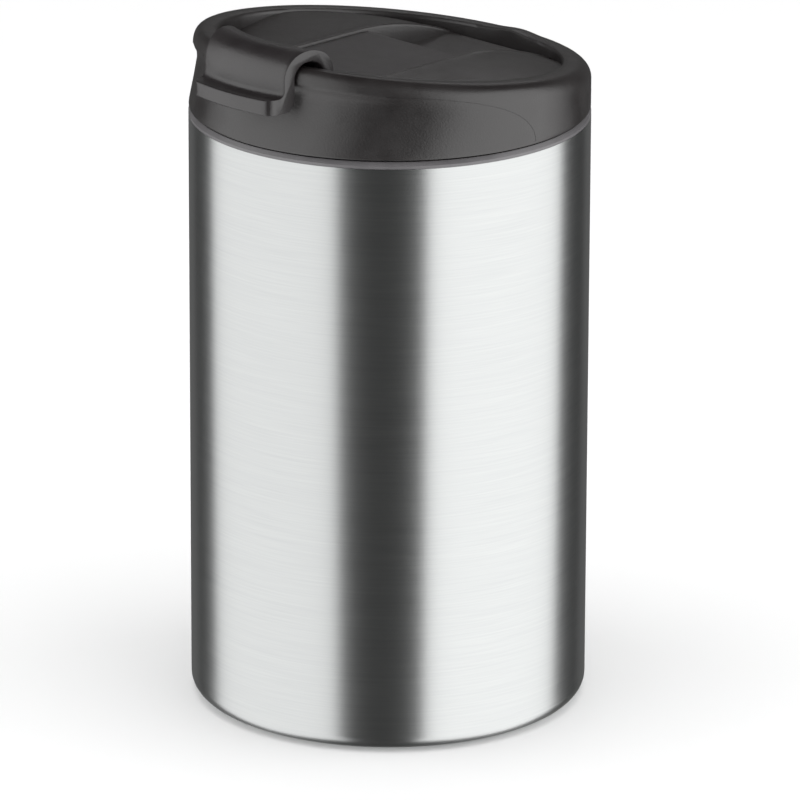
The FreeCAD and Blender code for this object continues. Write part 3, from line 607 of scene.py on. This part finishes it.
def hook_half(reach):
    """Half the flap's width at a distance from the axis, with the tab's rounded corners."""
    half = FLAP_HALF - TAPER * max(0.0, reach - TAPER_START)
    into = min(TAB_CORNER, max(0.0, reach - (TAB_REACH - TAB_CORNER)))
    return half - (TAB_CORNER - math.sqrt(TAB_CORNER ** 2 - into ** 2))


def drinking_flap():
    """The flap, its hook over the rim and its thumb tab, as one bent moulding."""
    under = FLAP_TOP - FLAP_THICK
    inside, leg_in, leg_out, root = 33.1, 39.3, 41.6, 30.8
    crown = FLOOR + 11.95
    tab_low, tab_top = FLOOR + 2.45, FLOOR + 5.6
    corners = [
        (-inside, under, 0.4), (-inside, crown, 3.04), (-leg_in, crown, 3.04),
        (-leg_in, tab_low, 2.4), (-TAB_REACH, tab_low, 0.5), (-TAB_REACH, tab_top, 0.4),
        (-leg_out, tab_top, 1.3), (-leg_out, flap_high.z, 5.3), (-root, flap_high.z, 5.3),
        (-root, FLAP_TOP, 3.5), (HINGE_Y + 1.3, FLAP_TOP, 0.3), (HINGE_Y + 1.65, HINGE_Z + 0.5)]
    for step in range(11):
        turn = math.radians(-15 * step)
        corners.append((HINGE_Y + KNUCKLE_R * math.cos(turn),
                        HINGE_Z + KNUCKLE_R * math.sin(turn)))
    outline = divided(rounded(corners, 8), 1.3)
    piece = trace("flap_moulding", [(-FLAP_HALF, y, z) for y, z in outline])
    bpy.ops.mesh.edge_face_add()
    bpy.ops.mesh.extrude_region_move(
        TRANSFORM_OT_translate={"value": (2 * FLAP_HALF * MM, 0, 0)})
    tidy_mesh()
    apply_modifier(piece, "BEVEL", width=EDGE_BEVEL * MM, segments=2, limit_method="ANGLE",
                   angle_limit=math.radians(50))
    edit(piece)
    for k in range(1, FLAP_SLICES):
        bpy.ops.mesh.select_all(action="SELECT")
        x = (-FLAP_HALF + 2 * FLAP_HALF * k / FLAP_SLICES) * MM
        bpy.ops.mesh.bisect(plane_co=(x, 0, 0), plane_no=(1, 0, 0))
    for k in range(7):
        bpy.ops.mesh.select_all(action="SELECT")
        bpy.ops.mesh.bisect(plane_co=(0, -(43.4 + 0.25 * k) * MM, 0), plane_no=(0, 1, 0))
    tidy_mesh()
    # Bend the hook round the rim: its ends follow the rim's circle, seen from above.
    for vertex in piece.data.vertices:
        x, y, z = vertex.co / MM
        reach = -y
        if reach > 20:
            x *= hook_half(reach) / FLAP_HALF
            bent = math.sqrt(max(0.0, reach ** 2 - x ** 2))
            share = eased(26, 30.85, reach)
            y = -(reach + (bent - reach) * share)
        vertex.co = Vector((x, y, z)) * MM
    dress(piece, "drinking_flap", "flap_plastic", flap_plastic, "flap", angle=24)
    return piece


# ---- carried-over CAD nodes --------------------------------------------------------

def give_materials():
    """Give each CAD node that stays in view its own finish."""
    # The collar's finish carries painted sheen, a lighter grey that stands in for the light its
    # chamfer catches.
    finishes = {
        "base_plate": drawn_steel, "inner_cup": drawn_steel, "hinge_pin": drawn_steel,
        "collar": collar_plastic_painted_sheen, "cup_retainer": collar_plastic_painted_sheen, "lid_base": lid_plastic,
        "cup_seal": silicone, "shell_seal": silicone, "cover_seal": silicone,
        "lid_gasket": silicone, "drink_seal": silicone, "vent_seal": silicone}
    for name, material in finishes.items():
        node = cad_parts[name]
        for slot in node.material_slots:
            slot.material = material


# ---- camera, light and floor -------------------------------------------------------

LENS_MM, SENSOR_MM = 339.2, 36.0
EYE = (1.0158, -1.0158, 0.5465)
LOOK_DOWN = 0.3264
EYE_ROLL = 0.0032


def camera():
    """A long lens from the front right, looking down at about 19 degrees."""
    lens = bpy.data.cameras.new("camera")
    lens.lens = LENS_MM
    lens.sensor_width = SENSOR_MM
    lens.shift_x = 0.0139
    lens.shift_y = 0.0021
    lens.clip_start = 0.05
    lens.clip_end = 60
    eye = bpy.data.objects.new("camera", lens)
    bpy.context.scene.collection.objects.link(eye)
    turn = Matrix.Rotation(math.radians(45), 4, "Z")
    lean = Matrix.Rotation(math.pi / 2 - LOOK_DOWN, 4, "X")
    roll = Matrix.Rotation(EYE_ROLL, 4, "Z")
    eye.matrix_world = Matrix.Translation(EYE) @ turn @ lean @ roll
    bpy.context.scene.camera = eye


def softbox(name, azimuth, distance, width, low, high, strength):
    """An upright soft light facing the mug; strength is its brightness."""
    lamp = bpy.data.lights.new(name, "AREA")
    lamp.shape = "RECTANGLE"
    lamp.size = width
    lamp.size_y = high - low
    lamp.energy = strength * math.pi * width * (high - low)
    light = bpy.data.objects.new(name, lamp)
    bpy.context.scene.collection.objects.link(light)
    angle = math.radians(azimuth)
    spot = Vector((distance * math.cos(angle), distance * math.sin(angle), (low + high) / 2))
    facing = Vector((spot.x, spot.y, 0)).to_track_quat("Z", "Y")
    light.matrix_world = Matrix.Translation(spot) @ facing.to_matrix().to_4x4()
    light.visible_camera = False
    return light


# Brightness of the overhead light, of the room, and of the room as reflections see it.
OVERHEAD = 1.75
AROUND = 0.6
AROUND_MIRRORED = 0.042
OVERHEAD_WIDE = 2.0


def overhead():
    """A square soft light straight above, which reflections don't see."""
    lamp = bpy.data.lights.new("overhead", "AREA")
    lamp.shape = "SQUARE"
    lamp.size = OVERHEAD_WIDE
    lamp.energy = OVERHEAD * math.pi * OVERHEAD_WIDE ** 2
    light = bpy.data.objects.new("overhead", lamp)
    bpy.context.scene.collection.objects.link(light)
    light.location = (0, 0, 2.2)
    light.visible_camera = False
    light.visible_glossy = False


def room():
    """Pale surroundings. Reflections see less of them, so that the steel stays crisp."""
    world = bpy.data.worlds.new("studio")
    bpy.context.scene.world = world
    bpy.context.scene.view_settings.view_transform = "Standard"
    world.use_nodes = True
    tree = world.node_tree
    sky = tree.nodes["Background"]
    sky.inputs["Color"].default_value = colour("#f8f8f8")
    rays = add(tree, "ShaderNodeLightPath")
    share = add(tree, "ShaderNodeMapRange", {"To Min": AROUND, "To Max": AROUND_MIRRORED},
                {"Value": rays.outputs["Is Glossy Ray"]})
    tree.links.new(share.outputs["Result"], sky.inputs["Strength"])


def studio():
    """Tall softboxes that make the steel's bands, light from above, and a pale floor."""
    softbox("softbox_right", azimuth=22, distance=0.8, width=1.66, low=-1.7, high=0.9,
            strength=1.25)
    softbox("softbox_left", azimuth=-119, distance=0.8, width=1.6, low=-1.7, high=0.9,
            strength=1.05)
    softbox("softbox_back", azimuth=135, distance=1.2, width=1.6, low=-2.4, high=0.9,
            strength=0.08)
    overhead()
    edge = softbox("edge_light", azimuth=126, distance=0.8, width=0.35, low=0.55, high=0.75,
                   strength=1.2)
    edge.visible_diffuse = False
    room()
    deselect()
    bpy.ops.mesh.primitive_circle_add(vertices=96, radius=40, fill_type="NGON")
    floor = bpy.context.object
    floor.name = "floor"
    floor.location.z = -0.0001
    # The softboxes reach below the floor, so it casts no shadow and reflections pass it.
    paint, _, shader, _ = start_material("matte_white_paint")
    shader.inputs["Base Color"].default_value = colour("#f6f6f6")
    shader.inputs["Roughness"].default_value = 0.9
    shader.inputs["Specular IOR Level"].default_value = 0.1
    floor.data.materials.append(paint)
    floor.visible_glossy = False
    floor.visible_shadow = False


camera()
steel_sleeve()
foot_disc()
lid_body()
witness_lines()
drinking_flap()
give_materials()
studio()

bpy.context.view_layer.update()
